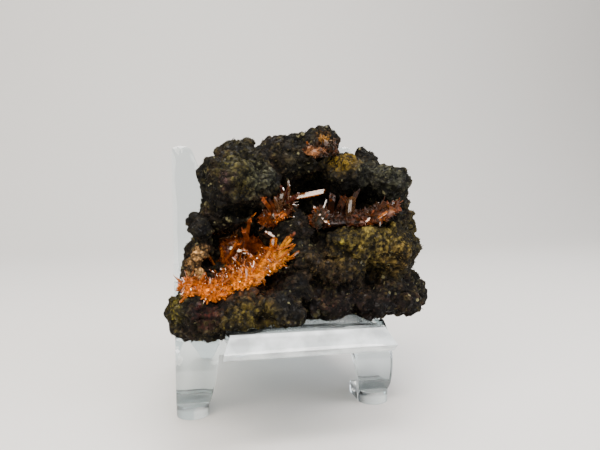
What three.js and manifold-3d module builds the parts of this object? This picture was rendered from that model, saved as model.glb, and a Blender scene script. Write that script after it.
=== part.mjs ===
// Crocoite crystals on a dark limonite matrix, resting on a clear acrylic easel.
// Millimetres, +Z up, +Y to the back. The origin is under the middle of the whole part.
import * as THREE from 'three';
import { mergeVertices } from 'three/addons/utils/BufferGeometryUtils.js';
import Module from 'manifold-3d';

const wasm = await Module();
wasm.setup();

// ---- driving dimensions, the easel ----
const EASEL_WIDTH = 65.5;
const SHEET = 3.6; // thickness of the acrylic sheet
const EASEL_TOP = 80.3;
const NOTCH_FLOOR = 36; // top of the middle of the back, between the prongs
const LEAN_DEG = 14; // how far the back leans
const BACK_BEND = { y: 32, z: 23.2, radius: 6 }; // where the back turns into ledge and legs
const PRONG_TOP_WIDTH = 6.4;
const PRONG_TAPER = 18; // length of the prong's narrowing top
const STRIP_WIDTH = 12.8; // of the prongs and legs
const CORNER = 2.2; // rounding at the top of a prong
const CURL_RADIUS = 10.6; // of a front leg, to the middle of the sheet
const CURL_FRONT = -0.5; // foremost face of the curl
const CURL_TURNS = 1.93; // quarter turns the leg makes down to its foot
const TOE_WIDTH = 9.6;
const TOE_HEEL = 13; // how far back the foot lies on the floor
const TOE_TIP = 0.6; // half width of the rounded foot's very tip
const LEG_TAPER = { from: 22, to: 6 }; // before the leg's end, where it narrows to the foot
const LEDGE_FRONT = { y: -29, z: 30.5 };
const APRON_END = { y: -31.4, z: 27.6 }; // the ledge's turned-down front edge
const APRON_FLARE = 1.9;
const STRUT_TOP = 39.6;
const STRUT_BEND = { z: 31, radius: 8 };
const STRUT_FOOT = 63;
const STRUT_FOOT_HALF = 21.5; // half width of the rear strut at the floor
const STRUT_TAPER = 0.77; // share of the strut over which it narrows
const WELD = 0.15; // how deep the strut's flange sinks into the back
const LAP = 0.4; // how far the tongue runs into the prongs where they are one sheet
const SLIT = 0.2; // how far it stands off the legs at its front
const BEND_STEPS = 5; // facets in a quarter of a bend

// ---- driving dimensions, the specimen ----
const CLEARANCE = 0.32; // between pieces that touch
const FACET = 9; // rough width of the facets that draw the rock
const BUMP_HEIGHT = 2.4; // lumps of the broken rock
const BUMP_SIZE = 8;
const PIT_HEIGHT = 1.4; // finer pits
const PIT_SIZE = 3.4;
const BREAKS = 13; // flat breaks on each mass
const BREAK_DEPTH = [0.74, 0.96]; // how near to the middle a break lies

// Rounded masses of the matrix: middle, half sizes, turn about +Y in degrees.
const LUMPS = [
  { at: [-16.5, 6, 68.5], half: [9.5, 15, 10], turn: 0 }, // upper left
  { at: [-13, 10, 74], half: [8.5, 12, 7.6], turn: 14 },
  { at: [-7, 8, 67], half: [8, 12, 9], turn: 0 },
  { at: [-7, 10, 73.6], half: [6.5, 11, 6.8], turn: 0 },
  { at: [-1, 14, 74.2], half: [8, 13, 8.5], turn: -10 }, // upper middle
  { at: [7, 13, 76], half: [9.5, 13, 8.5], turn: -14 },
  { at: [12.8, 14, 78.6], half: [6.4, 11, 7.4], turn: 16 },
  { at: [18.5, 8, 71], half: [8.5, 13, 6.4], turn: 10 }, // ochre shoulder
  { at: [27, 11, 75.4], half: [4.6, 6, 4.4], turn: 0 }, // knob
  { at: [27, 9, 68.5], half: [9, 15, 6], turn: 10 }, // right lobe
  { at: [33, 10, 66.4], half: [7.4, 14, 6.2], turn: 14 },
  { at: [19, 11, 49], half: [17, 26, 13], turn: 6 }, // right block
  { at: [29, 12, 50], half: [14, 24, 15], turn: 0 },
  { at: [36.2, 14, 56], half: [7.6, 18, 8], turn: -8 },
  { at: [14, 8, 41], half: [16, 22, 11], turn: 0 },
  { at: [33.6, 10, 36.4], half: [9.6, 20, 9], turn: 0 },
  { at: [40, 8, 32.8], half: [5, 10, 4.8], turn: 0 },
  { at: [24, 7, 34.6], half: [13.5, 23.5, 8.4], turn: 0 },
  { at: [9.5, 6, 34.6], half: [12.5, 23, 8.2], turn: 0 },
  { at: [32, 4, 33.4], half: [10.5, 17, 5], turn: 0 },
  { at: [2, 20, 50], half: [28, 15, 20], turn: 0 }, // bulk behind the hollows
  { at: [10, 22, 62], half: [25, 12, 13], turn: 0 },
  { at: [1, 4, 53], half: [9.5, 17, 7], turn: -16 }, // bridge in the middle
  { at: [3.5, -1, 47.5], half: [6.5, 13, 7], turn: -20 },
  { at: [-16.5, -6, 35.4], half: [15, 20.5, 7.4], turn: -3 }, // lower left
  { at: [-27.4, -7, 35], half: [6.4, 15, 7.6], turn: 18 },
  { at: [-23.5, -9, 31.8], half: [10.5, 15, 5], turn: 0 },
  { at: [-7, -9, 34.6], half: [9, 19.5, 7.4], turn: -10 },
  { at: [-15, -14, 34], half: [13, 15, 5.6], turn: -4 },
  { at: [-1.5, -2, 40], half: [9, 16, 7], turn: -20 },
  { at: [-19, 14, 43], half: [12, 13, 12], turn: 0 }, // behind the pocket
  { at: [-25.5, 4, 46.5], half: [4.8, 11, 7.4], turn: 6 }, // left edge
  { at: [-26.2, 2, 56], half: [3.6, 7, 3.2], turn: 0 }, // left knob
  { at: [-13, 15, 56], half: [13, 13, 10], turn: 0 },
  { at: [-17, 5, 60.5], half: [8, 12, 6], turn: 0 },
];

// Hollows that open to the front, given in the same way.
const HOLLOWS = [
  { at: [-14, -12, 48.5], half: [14, 19, 6.6], turn: -24 }, // pocket
  { at: [-1.5, -9, 63.2], half: [5.6, 15, 6.2], turn: 6 }, // middle
  { at: [16.5, -9, 61.6], half: [14.5, 21, 5.8], turn: -4 }, // cavity
  { at: [-15, -11, 60.6], half: [9, 14, 2.6], turn: 2 }, // cleft under the upper left
  { at: [-5, -20, 42.6], half: [8.5, 11, 2.4], turn: -20 }, // undercut below the pocket
];

// ---- helpers ----
function hash(i, j, k) {
  let h = Math.imul(i, 374761393) + Math.imul(j, 668265263) + Math.imul(k, 2147483647);
  h = Math.imul(h ^ (h >>> 13), 1274126177);
  return ((h ^ (h >>> 16)) >>> 0) / 4294967295;
}

// Smooth noise between -1 and 1.
function noise(x, y, z) {
  const [i, j, k] = [Math.floor(x), Math.floor(y), Math.floor(z)];
  const ease = (t) => t * t * (3 - 2 * t);
  const [u, v, w] = [ease(x - i), ease(y - j), ease(z - k)];
  let sum = 0;
  for (let corner = 0; corner < 8; corner += 1) {
    const [a, b, c] = [corner & 1, (corner >> 1) & 1, corner >> 2];
    const weight = (a ? u : 1 - u) * (b ? v : 1 - v) * (c ? w : 1 - w);
    sum += weight * hash(i + a, j + b, k + c);
  }
  return 2 * sum - 1;
}

// A repeatable stream of numbers between 0 and 1.
function numbers(seed) {
  let state = seed;
  return () => {
    state = (Math.imul(state, 1664525) + 1013904223) >>> 0;
    return state / 4294967296;
  };
}

function toSolid(geometry) {
  const bare = geometry.index ? geometry.toNonIndexed() : geometry.clone();
  bare.deleteAttribute('normal');
  bare.deleteAttribute('uv');
  const merged = mergeVertices(bare, 1e-4);
  return new wasm.Manifold(new wasm.Mesh({
    numProp: 3,
    vertProperties: new Float32Array(merged.attributes.position.array),
    triVerts: new Uint32Array(merged.index.array),
  }));
}

function toGeometry(solid) {
  const mesh = solid.getMesh();
  const geometry = new THREE.BufferGeometry();
  geometry.setAttribute('position', new THREE.BufferAttribute(mesh.vertProperties, 3));
  geometry.setIndex(new THREE.BufferAttribute(mesh.triVerts, 1));
  geometry.computeVertexNormals();
  return geometry;
}

const join = (solids) => solids.reduce((all, next) => all.add(next));

// The biggest body of a solid, so that no loose chip is left beside it.
function biggest(solid) {
  return solid.decompose().reduce((best, next) => (next.volume() > best.volume() ? next : best));
}

// ---- the matrix ----
// How far out a broken mass reaches along a unit direction, 1 where nothing broke off.
function breaksOf(seed) {
  const next = numbers(seed);
  const planes = Array.from({ length: BREAKS }, () => {
    const turn = 2 * Math.PI * next();
    const up = 2 * next() - 1;
    const flat = Math.sqrt(1 - up * up);
    const depth = BREAK_DEPTH[0] + (BREAK_DEPTH[1] - BREAK_DEPTH[0]) * next();
    return { facing: new THREE.Vector3(flat * Math.cos(turn), flat * Math.sin(turn), up), depth };
  });
  return (out) => planes.reduce((reach, { facing, depth }) => {
    const towards = out.dot(facing);
    return towards > depth ? Math.min(reach, depth / towards) : reach;
  }, 1);
}

// One broken, bumpy mass, grown by `extra` all round.
function mass({ at, half, turn }, extra) {
  const detail = Math.max(1, Math.round(Math.max(...half) / FACET) - 1);
  const geometry = new THREE.IcosahedronGeometry(1, detail);
  const turned = new THREE.Matrix4().makeRotationY(THREE.MathUtils.degToRad(turn));
  const middle = new THREE.Vector3(...at);
  const reach = breaksOf(Math.round(1000 + 37 * at[0] + 91 * at[1] + 13 * at[2]));
  const position = geometry.attributes.position;
  const out = new THREE.Vector3();
  const point = new THREE.Vector3();
  for (let n = 0; n < position.count; n += 1) {
    out.fromBufferAttribute(position, n);
    point.copy(out).multiplyScalar(reach(out)).multiply(new THREE.Vector3(...half));
    point.applyMatrix4(turned).add(middle);
    const lumps = noise(point.x / BUMP_SIZE, point.y / BUMP_SIZE, point.z / BUMP_SIZE);
    const pits = noise(point.x / PIT_SIZE, point.y / PIT_SIZE, point.z / PIT_SIZE + 9);
    out.applyMatrix4(turned);
    const rough = Math.min(1, Math.min(...half) / BUMP_SIZE);
    point.addScaledVector(out, rough * (BUMP_HEIGHT * lumps + PIT_HEIGHT * pits) + extra);
    position.setXYZ(n, point.x, point.y, point.z);
  }
  return toSolid(geometry);
}

function rock() {
  const body = join(LUMPS.map((lump) => mass(lump, 0)));
  return body.subtract(join(HOLLOWS.map((hollow) => mass(hollow, 0))));
}

// ---- crocoite ----
// A four-sided prism with a slanting end, from its root along its length.
function prism({ root, along, length, width, slant, roll }, extra) {
  const half = width / 2 + extra;
  const section = [[half, 0], [0, half * 0.8], [-half, 0], [0, -half * 0.8]];
  const corners = [];
  for (const end of [0, 1]) {
    for (const [a, b] of section) {
      const reach = end ? length + extra + slant * a : -extra;
      corners.push(new THREE.Vector3(a, b, reach));
    }
  }
  const facing = new THREE.Quaternion().setFromUnitVectors(
    new THREE.Vector3(0, 0, 1),
    new THREE.Vector3(...along).normalize(),
  );
  const rolled = new THREE.Quaternion().setFromAxisAngle(new THREE.Vector3(0, 0, 1), roll);
  const positions = [];
  corners.forEach((corner) => {
    corner.applyQuaternion(rolled).applyQuaternion(facing).add(new THREE.Vector3(...root));
    positions.push(corner.x, corner.y, corner.z);
  });
  const faces = [0, 2, 1, 0, 3, 2, 4, 5, 6, 4, 6, 7];
  for (let side = 0; side < 4; side += 1) {
    const next = (side + 1) % 4;
    faces.push(side, next, next + 4, side, next + 4, side + 4);
  }
  const geometry = new THREE.BufferGeometry();
  geometry.setAttribute('position', new THREE.Float32BufferAttribute(positions, 3));
  geometry.setIndex(faces);
  return toSolid(geometry);
}

// Prisms that spring from a line of roots and fan about a main direction.
function spray({ from, to, count, along, spread, length, width, seed }) {
  const next = numbers(seed);
  const between = (low, high) => low + (high - low) * next();
  const start = new THREE.Vector3(...from);
  const end = new THREE.Vector3(...to);
  return Array.from({ length: count }, (_, n) => {
    const root = start.clone().lerp(end, (n + 0.5) / count);
    return {
      root: root.toArray(),
      along: along.map((part) => part + between(-spread, spread)),
      length: between(...length),
      width: between(...width),
      slant: between(-0.9, 0.9),
      roll: between(0, Math.PI),
    };
  });
}

// A crust: rounded beds of fine crystals with the larger prisms standing on them.
function crust({ beds, prisms }, extra) {
  const solids = beds.map((bed) => mass(bed, extra));
  return join(solids.concat(prisms.map((one) => prism(one, extra))));
}

const POCKET = {
  beds: [
    { at: [-28, -11, 40.8], half: [4.6, 6, 2], turn: 14 },
    { at: [-22, -12, 40], half: [6, 6.5, 2.2], turn: -4 },
    { at: [-14.5, -11, 42.4], half: [7, 7, 2.4], turn: -24 },
    { at: [-7, -8, 46.6], half: [6.5, 7, 2.4], turn: -32 },
    { at: [-14, -3, 43], half: [9, 8, 2.6], turn: -24 },
    { at: [-13, 4.5, 47.5], half: [9, 3.2, 5.6], turn: -20 },
  ],
  prisms: [
    ...spray({
      from: [-29, -13, 41], to: [-4, -11, 48.5], count: 8, along: [0.2, -0.75, 1],
      spread: 0.8, length: [3, 6], width: [0.9, 1.6], seed: 11,
    }),
    ...spray({
      from: [-20, 2, 46], to: [-7, 3, 50], count: 6, along: [0.1, -1, 0.45],
      spread: 0.7, length: [7, 13], width: [1.1, 2], seed: 23,
    }),
    ...spray({
      from: [-7, -9, 47], to: [-4, -7, 49], count: 4, along: [0.8, -0.5, 0.9],
      spread: 0.35, length: [6, 9], width: [0.8, 1.2], seed: 5,
    }),
  ],
};

const CLUSTER = {
  beds: [
    { at: [-3.6, 0, 58.6], half: [4.4, 5, 2.4], turn: -20 },
    { at: [-1.4, 3.4, 61.4], half: [4, 3.6, 4.6], turn: 0 },
  ],
  prisms: spray({
    from: [-5.5, -1, 59], to: [1.5, 2, 64], count: 9, along: [0.1, -0.7, 0.9],
    spread: 0.8, length: [5, 9], width: [1, 1.7], seed: 31,
  }),
};

const CAVITY = {
  beds: [
    { at: [7.2, -7.5, 58.6], half: [1.8, 5, 3.4], turn: 28 },
    { at: [13, 0, 57], half: [7, 8, 2.2], turn: 0 },
    { at: [21, -2, 57.4], half: [7, 8, 2.2], turn: -6 },
    { at: [26.5, -5, 59.4], half: [7, 6.5, 2], turn: -22 },
  ],
  prisms: [
    ...spray({
      from: [12, 1, 57.6], to: [18, 0, 58], count: 4, along: [0.12, -0.45, 1],
      spread: 0.3, length: [7, 9.5], width: [2, 3.2], seed: 47,
    }),
    ...spray({
      from: [18, -8, 57.6], to: [31, -7, 61.4], count: 7, along: [0, -0.8, 0.7],
      spread: 0.7, length: [2.5, 4.5], width: [0.8, 1.4], seed: 59,
    }),
    ...spray({
      from: [5.5, -11, 61], to: [8, -12, 57.8], count: 3, along: [0.5, -0.8, 0.5],
      spread: 0.5, length: [2, 3.5], width: [0.8, 1.2], seed: 71,
    }),
  ],
};

const TOP = {
  beds: [
    { at: [8.5, 1.6, 77.4], half: [3.6, 2.6, 1.6], turn: 0 },
    { at: [12.4, 3.2, 79.2], half: [3.8, 3.4, 1.8], turn: 44 },
  ],
  prisms: spray({
    from: [5.5, 0, 77], to: [15, 4, 80], count: 7, along: [0.1, -0.9, 0.5],
    spread: 0.7, length: [2.5, 4], width: [0.9, 1.5], seed: 67,
  }),
};

// ---- the easel ----
const sidePoint = (y, z) => new THREE.Vector2(y, z);
const LEAN = Math.tan(THREE.MathUtils.degToRad(LEAN_DEG));
const HALF = EASEL_WIDTH / 2;
const INNER = HALF - STRIP_WIDTH;

// A point of the leaning back at height z, `behind` its middle surface.
function backAt(z, behind = 0) {
  return sidePoint(BACK_BEND.y + (z - BACK_BEND.z) * LEAN + behind / Math.cos(Math.atan(LEAN)), z);
}

// Even points from a to b in the side view, both ends included.
function line(a, b, steps) {
  return Array.from({ length: steps + 1 }, (_, n) => a.clone().lerp(b, n / steps));
}

function arc(centre, radius, from, to) {
  const steps = Math.max(2, Math.round((Math.abs(to - from) / (Math.PI / 2)) * BEND_STEPS));
  return Array.from({ length: steps + 1 }, (_, n) => {
    const angle = from + ((to - from) * n) / steps;
    return sidePoint(centre.x + radius * Math.cos(angle), centre.y + radius * Math.sin(angle));
  });
}

// The rounded bend between the lines a-corner and corner-b.
function bend(a, corner, b, radius) {
  const toA = a.clone().sub(corner).normalize();
  const toB = b.clone().sub(corner).normalize();
  const half = Math.acos(toA.dot(toB)) / 2;
  const middle = toA.clone().add(toB).normalize();
  const centre = corner.clone().addScaledVector(middle, radius / Math.sin(half));
  const from = toA.multiplyScalar(radius / Math.tan(half)).add(corner).sub(centre).angle();
  const turn = toB.multiplyScalar(radius / Math.tan(half)).add(corner).sub(centre).angle() - from;
  const shortest = turn - 2 * Math.PI * Math.round(turn / (2 * Math.PI));
  return arc(centre, radius, from, from + shortest);
}

// A strip of sheet bent along a side-view path, grown by `extra` on every side.
// edges(s, total) gives its left and right x.
function strip(path, edges, extra) {
  const lengths = [0];
  for (let n = 1; n < path.length; n += 1) {
    lengths.push(lengths[n - 1] + path[n].distanceTo(path[n - 1]));
  }
  const total = lengths[lengths.length - 1];
  const positions = [];
  path.forEach((point, n) => {
    const before = path[Math.max(0, n - 1)];
    const after = path[Math.min(path.length - 1, n + 1)];
    const run = after.clone().sub(before).normalize();
    const [left, right] = edges(lengths[n], total);
    for (const [x, side, out] of [[left, 1, -1], [right, 1, 1], [right, -1, 1], [left, -1, -1]]) {
      const reach = side * (SHEET / 2 + extra);
      positions.push(x + out * extra, point.x - run.y * reach, point.y + run.x * reach);
    }
  });
  const faces = [];
  for (let n = 0; n < path.length - 1; n += 1) {
    for (let side = 0; side < 4; side += 1) {
      const a = n * 4 + side;
      const b = n * 4 + ((side + 1) % 4);
      faces.push(a, b, b + 4, a, b + 4, a + 4);
    }
  }
  const last = (path.length - 1) * 4;
  faces.push(0, 2, 1, 0, 3, 2, last, last + 1, last + 2, last, last + 2, last + 3);
  const geometry = new THREE.BufferGeometry();
  geometry.setAttribute('position', new THREE.Float32BufferAttribute(positions, 3));
  geometry.setIndex(faces);
  return toSolid(geometry);
}

// How far a rounded end of the given radius draws in, at distance d from the end.
function drawIn(d, radius) {
  const near = Math.max(0, radius - d);
  return radius - Math.sqrt(Math.max(0, radius * radius - near * near));
}

// One side of the easel: the prong, the bend under it, the curled leg and the foot.
function sideStrip(sign, extra) {
  const between = (outer, inner) => (sign < 0 ? [-outer, -inner] : [inner, outer]);
  const corner = sidePoint(BACK_BEND.y, BACK_BEND.z);
  const centre = sidePoint(CURL_FRONT + SHEET / 2 + CURL_RADIUS, BACK_BEND.z - CURL_RADIUS);
  const quarter = Math.PI / 2;
  const prong = line(backAt(EASEL_TOP), backAt(EASEL_TOP - CORNER), 4);
  const taper = line(backAt(EASEL_TOP - 2 * CORNER), backAt(EASEL_TOP - PRONG_TAPER), 2);
  const turn = bend(backAt(EASEL_TOP), corner, sidePoint(0, corner.y), BACK_BEND.radius);
  const curl = arc(centre, CURL_RADIUS, quarter, (1 + CURL_TURNS) * quarter);
  const path = [...prong, ...taper, ...turn, ...curl];
  const upper = strip(path, (s, total) => {
    const open = Math.min(1, s / PRONG_TAPER);
    const inset = drawIn(s, CORNER);
    const wide = PRONG_TOP_WIDTH + (STRIP_WIDTH - PRONG_TOP_WIDTH) * open;
    const along = (s - total + LEG_TAPER.from) / (LEG_TAPER.from - LEG_TAPER.to);
    const low = THREE.MathUtils.clamp(along, 0, 1);
    return between(HALF - inset, HALF - wide + inset + (STRIP_WIDTH - TOE_WIDTH) * low);
  }, extra);
  const tip = sidePoint(0, SHEET / 2);
  const round = TOE_WIDTH / 2;
  const ball = sidePoint(round, SHEET / 2);
  const sole = [sidePoint(TOE_HEEL, SHEET / 2), ...line(ball, tip, 7)];
  const toe = strip(sole, (s, total) => {
    const inset = Math.min(drawIn(total - s, round), round - TOE_TIP);
    return between(HALF - inset, HALF - TOE_WIDTH + inset);
  }, extra);
  return upper.add(toe);
}

// The middle of the back and the ledge that is turned forward from it.
function ledge(extra) {
  const corner = sidePoint(BACK_BEND.y, BACK_BEND.z);
  const front = sidePoint(LEDGE_FRONT.y, LEDGE_FRONT.z);
  const turn = bend(backAt(EASEL_TOP), corner, front, BACK_BEND.radius);
  const edge = sidePoint(APRON_END.y, APRON_END.z);
  const path = [backAt(NOTCH_FLOOR), ...turn, front, edge];
  return strip(path, (s, total) => {
    const flat = total - front.distanceTo(edge);
    const half = INNER + (s < total / 2 ? LAP : -SLIT);
    const flare = Math.max(0, s - flat) / (total - flat);
    return [-half - APRON_FLARE * flare, half + APRON_FLARE * flare];
  }, extra);
}

// The rear strut: a flange behind the back that turns down to the floor.
function strut(extra) {
  const behind = SHEET - WELD;
  const top = backAt(STRUT_TOP, behind);
  const corner = backAt(STRUT_BEND.z, behind);
  const foot = sidePoint(STRUT_FOOT, 0);
  const below = foot.clone().sub(corner).setLength(SHEET).add(foot);
  const path = [top, ...bend(top, corner, foot, STRUT_BEND.radius), below];
  return strip(path, (s, total) => {
    const down = Math.max(0, s - STRUT_BEND.radius) / (STRUT_TAPER * total);
    const half = HALF - (HALF - STRUT_FOOT_HALF) * Math.min(1, down);
    return [-half, half];
  }, extra);
}

function underFloor() {
  const slab = new THREE.BoxGeometry(2 * EASEL_WIDTH, 4 * STRUT_FOOT, 2 * STRUT_BEND.z);
  slab.translate(0, 0, -STRUT_BEND.z);
  return toSolid(slab);
}

function easel(extra) {
  const sheet = join([sideStrip(-1, extra), sideStrip(1, extra), ledge(extra), strut(extra)]);
  return sheet.subtract(underFloor());
}

// ---- the part ----
const COLOURS = {
  matrix: { color: 0x2a261a, roughness: 0.9, metalness: 0 },
  crocoite: { color: 0xc8600f, roughness: 0.25, metalness: 0 },
  acrylic: { color: 0xf2f4f5, roughness: 0.05, metalness: 0 },
};

function piece(name, solid, finish) {
  const mesh = new THREE.Mesh(toGeometry(solid), new THREE.MeshStandardMaterial(COLOURS[finish]));
  mesh.name = name;
  return mesh;
}

const CRUSTS = { pocket: POCKET, cluster: CLUSTER, cavity: CAVITY, top: TOP };
const crustRoom = join(Object.values(CRUSTS).map((one) => crust(one, CLEARANCE)));
const matrixSolid = biggest(rock().subtract(crustRoom.add(easel(CLEARANCE))));

const part = new THREE.Group();
part.add(piece('easel', easel(0), 'acrylic'));
part.add(piece('matrix', matrixSolid, 'matrix'));
for (const [name, one] of Object.entries(CRUSTS)) {
  part.add(piece(`crocoite_${name}`, biggest(crust(one, 0)), 'crocoite'));
}

// The origin goes to the floor under the middle of the part.
const box = new THREE.Box3().setFromObject(part);
const middle = box.getCenter(new THREE.Vector3());
part.children.forEach((mesh) => mesh.geometry.translate(-middle.x, -middle.y, -box.min.z));

export default part;
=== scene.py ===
"""Crocoite on matrix on its clear display easel: shown pieces, finishes and a plain studio."""
import math

import bmesh
import bpy
import numpy as np
from bpy.props import FloatProperty, FloatVectorProperty, IntProperty, PointerProperty
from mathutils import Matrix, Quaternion, Vector, noise
from mathutils.bvhtree import BVHTree


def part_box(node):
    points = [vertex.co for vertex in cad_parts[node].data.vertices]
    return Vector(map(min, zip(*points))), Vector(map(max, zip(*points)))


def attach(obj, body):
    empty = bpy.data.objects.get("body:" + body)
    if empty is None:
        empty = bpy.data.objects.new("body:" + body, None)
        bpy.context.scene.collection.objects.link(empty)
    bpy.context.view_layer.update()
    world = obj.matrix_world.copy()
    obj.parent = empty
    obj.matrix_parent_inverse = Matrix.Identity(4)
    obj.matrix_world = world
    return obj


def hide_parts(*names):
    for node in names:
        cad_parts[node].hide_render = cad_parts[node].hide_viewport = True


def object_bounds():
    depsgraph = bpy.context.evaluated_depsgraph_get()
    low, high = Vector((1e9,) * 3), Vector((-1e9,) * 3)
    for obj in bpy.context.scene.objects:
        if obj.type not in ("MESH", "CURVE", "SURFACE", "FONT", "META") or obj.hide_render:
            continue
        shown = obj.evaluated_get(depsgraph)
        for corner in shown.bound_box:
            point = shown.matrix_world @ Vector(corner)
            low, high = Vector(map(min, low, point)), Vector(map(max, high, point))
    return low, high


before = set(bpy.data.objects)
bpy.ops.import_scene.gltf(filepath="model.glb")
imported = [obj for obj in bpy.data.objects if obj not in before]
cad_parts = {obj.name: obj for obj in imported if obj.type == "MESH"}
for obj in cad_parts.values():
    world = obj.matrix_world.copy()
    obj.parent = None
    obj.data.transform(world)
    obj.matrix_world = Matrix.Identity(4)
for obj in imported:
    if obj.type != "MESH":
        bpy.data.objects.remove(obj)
CAD_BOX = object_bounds()

bl_info = {
    "name": "Crocoite on Matrix",
    "version": (1, 0, 0),
    "blender": (4, 5, 0),
    "location": "View3D > Sidebar > Specimen",
    "description": "Builds a crocoite specimen on a clear easel around its fixed frame",
    "category": "Add Mesh",
}

MM = 0.001
BODY = "root"

# The camera: in mm, how far it stands before the easel's front and how high; in degrees, how far
# it looks down and to the right.
EYE_BEFORE, EYE_HEIGHT = 138.2, 72
LOOK_DOWN, LOOK_RIGHT = 5.15, 12

# Where the painted reflection on the easel's front edge fades in, in mm: from back to front,
# from low to high. There the sheet is painted milky white to stand in for the lights' reflections.
PAINTED_REFLECTION_BACK, PAINTED_REFLECTION_FRONT = -43.5, -44.5
PAINTED_REFLECTION_LOW, PAINTED_REFLECTION_HIGH = 25, 26

BROKEN_MEAN = 0.35  # about the mean of what broken() gives

# Areas of the matrix that differ: middle and radius in mm, colour, and how much of it shows.
ROCK_AREAS = (
    ("olive crust", (-19, -23, 74), 9, "3f3b1a", 0.7),
    ("grey speckle", (-13.5, -21, 71), 6, "3c4034", 0.55),
    ("violet brown face", (-24.5, -24.3, 69.5), 3.2, "33202a", 0.7),
    ("black flank", (-25.5, -20, 62.5), 6, "0c0a08", 0.9),
    ("upper middle", (-3, -17, 76), 7, "201d12", 0.7),
    ("ochre crest", (8.5, -11.3, 81.5), 4, "6a4a1a", 0.8),
    ("mustard shoulder", (11.9, -15.3, 74.3), 5.4, "6c560f", 0.9),
    ("black knob", (21.5, -7.3, 75.0), 5.4, "0d0d0a", 0.95),
    ("grey green lobe", (22.5, -18.3, 69.0), 10, "35372a", 0.65),
    ("black cavity", (10.5, -16.3, 62.0), 12, "080604", 1.0),
    ("right side moss", (37, -8, 50), 12, "3e3616", 0.6),
    ("rusty back", (-8, 16, 58), 14, "3a2210", 0.6),
    ("olive back", (20, 12, 52), 11, "3c3818", 0.6),
    ("ochre back", (4, 14, 40), 8, "5a3c14", 0.6),
    ("olive top", (-18, -2, 80), 8, "3a3618", 0.5),
    ("brown left side", (-33, -8, 42), 9, "3a2e14", 0.6),
    ("brown underside", (6, -16, 27), 16, "2a1a0e", 0.6),
    ("middle of the face", (3, -30, 46), 8, "3c2e18", 0.7),
    ("mossy right block", (18.5, -28.3, 51.0), 12.5, "564a1e", 0.85),
    ("brown moss", (24, -28.3, 46), 6, "4a381a", 0.6),
    ("straw patch", (6.5, -30.3, 51.5), 4, "72681e", 0.8),
    ("red brown foot", (14.5, -29.3, 33.0), 15, "130a08", 0.95),
    ("yellow green tip", (-37, -28.3, 36.0), 5, "524a16", 0.7),
    ("maroon face", (-30.5, -38.3, 37.5), 4.6, "321310", 0.8),
    ("mossy lower left", (-19.5, -42.3, 33.0), 8, "413810", 0.75),
    ("black foot", (-10, -40, 38), 5, "0f0c08", 0.8),
    ("rusty pocket", (-19.5, -26.3, 45.0), 12, "4a260c", 0.6),
    ("shadowed hollow", (-7.5, -30.3, 43.0), 6.5, "0c0906", 0.85),
    ("pale druse", (-32.3, -22.3, 47.2), 5.5, "a27a4a", 0.85),
    ("left knob", (-31.7, -21.3, 56.0), 4.6, "0e0d0a", 0.95),
    ("flesh coloured spots", (2.5, -32.3, 37.0), 2.6, "4e342a", 0.6),
)

# Areas of the crocoite in the same way: its finest crust is bright, the rest deep.
CROCOITE_AREAS = (
    ("left of the band", (-35.4, -30.3, 42.2), 5, "a85800", 0.95),
    ("band", (-28, -33.3, 39.8), 6, "b66000", 0.95),
    ("middle of the band", (-20.1, -32.3, 42.5), 6, "ba6800", 0.95),
    ("right of the band", (-13.8, -29.8, 46.5), 6, "b86a00", 0.95),
    ("end of the band", (-7.5, -27.3, 49.9), 4.5, "b47204", 0.95),
    ("cluster", (-6.5, -19, 62), 7.5, "4a2206", 0.95),
    ("cluster prisms", (-6, -20.3, 66), 5.5, "300f08", 1.0),
    ("foot of the cluster", (-8, -22, 58.6), 2.7, "ae5a00", 0.95),
    ("side of the cluster", (-10.4, -22, 61.8), 1.7, "9a5004", 0.9),
    ("cavity prisms", (11, -18.3, 62), 11, "180d06", 1.0),
    ("cavity floor", (6.3, -25.3, 57.6), 6, "160e08", 1.0),
    ("back of the rim", (21, -22, 61.5), 6, "22150a", 0.95),
    ("rim", (13.6, -28.8, 57), 2.4, "583410", 0.85),
    ("right rim", (18.6, -29.2, 59), 2.4, "9c6420", 0.9),
    ("end of the rim", (22.6, -28, 61.4), 2.2, "8a5418", 0.9),
    ("crest", (1, -27, 59.2), 4.6, "1e1d14", 1.0),
    ("dark top", (4.5, -15.3, 79), 8, "1c180f", 1.0),
    ("peach druse", (1.2, -17.8, 77.2), 2.1, "94623c", 0.85),
    ("peach speck", (4.4, -16.6, 78.2), 1.2, "94623c", 0.85),
    ("ochre edge", (6.8, -13.6, 81.6), 2.6, "8c6018", 0.75),
)

# Blades whose broad face is turned to throw the key light back to the camera.
GLINTS = ("cluster_blade", "band_tip_blade", "rim_prism_a", "outlined_prism", "crest_needle_b")

ROLLS = (40, -35, 55)  # degrees that the other blades are rolled by, in turn

# The first words of the names of the deep brown ones.
SMOKY = ("cluster_prism", "cluster_needle", "cavity", "brown", "violet")

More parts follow.
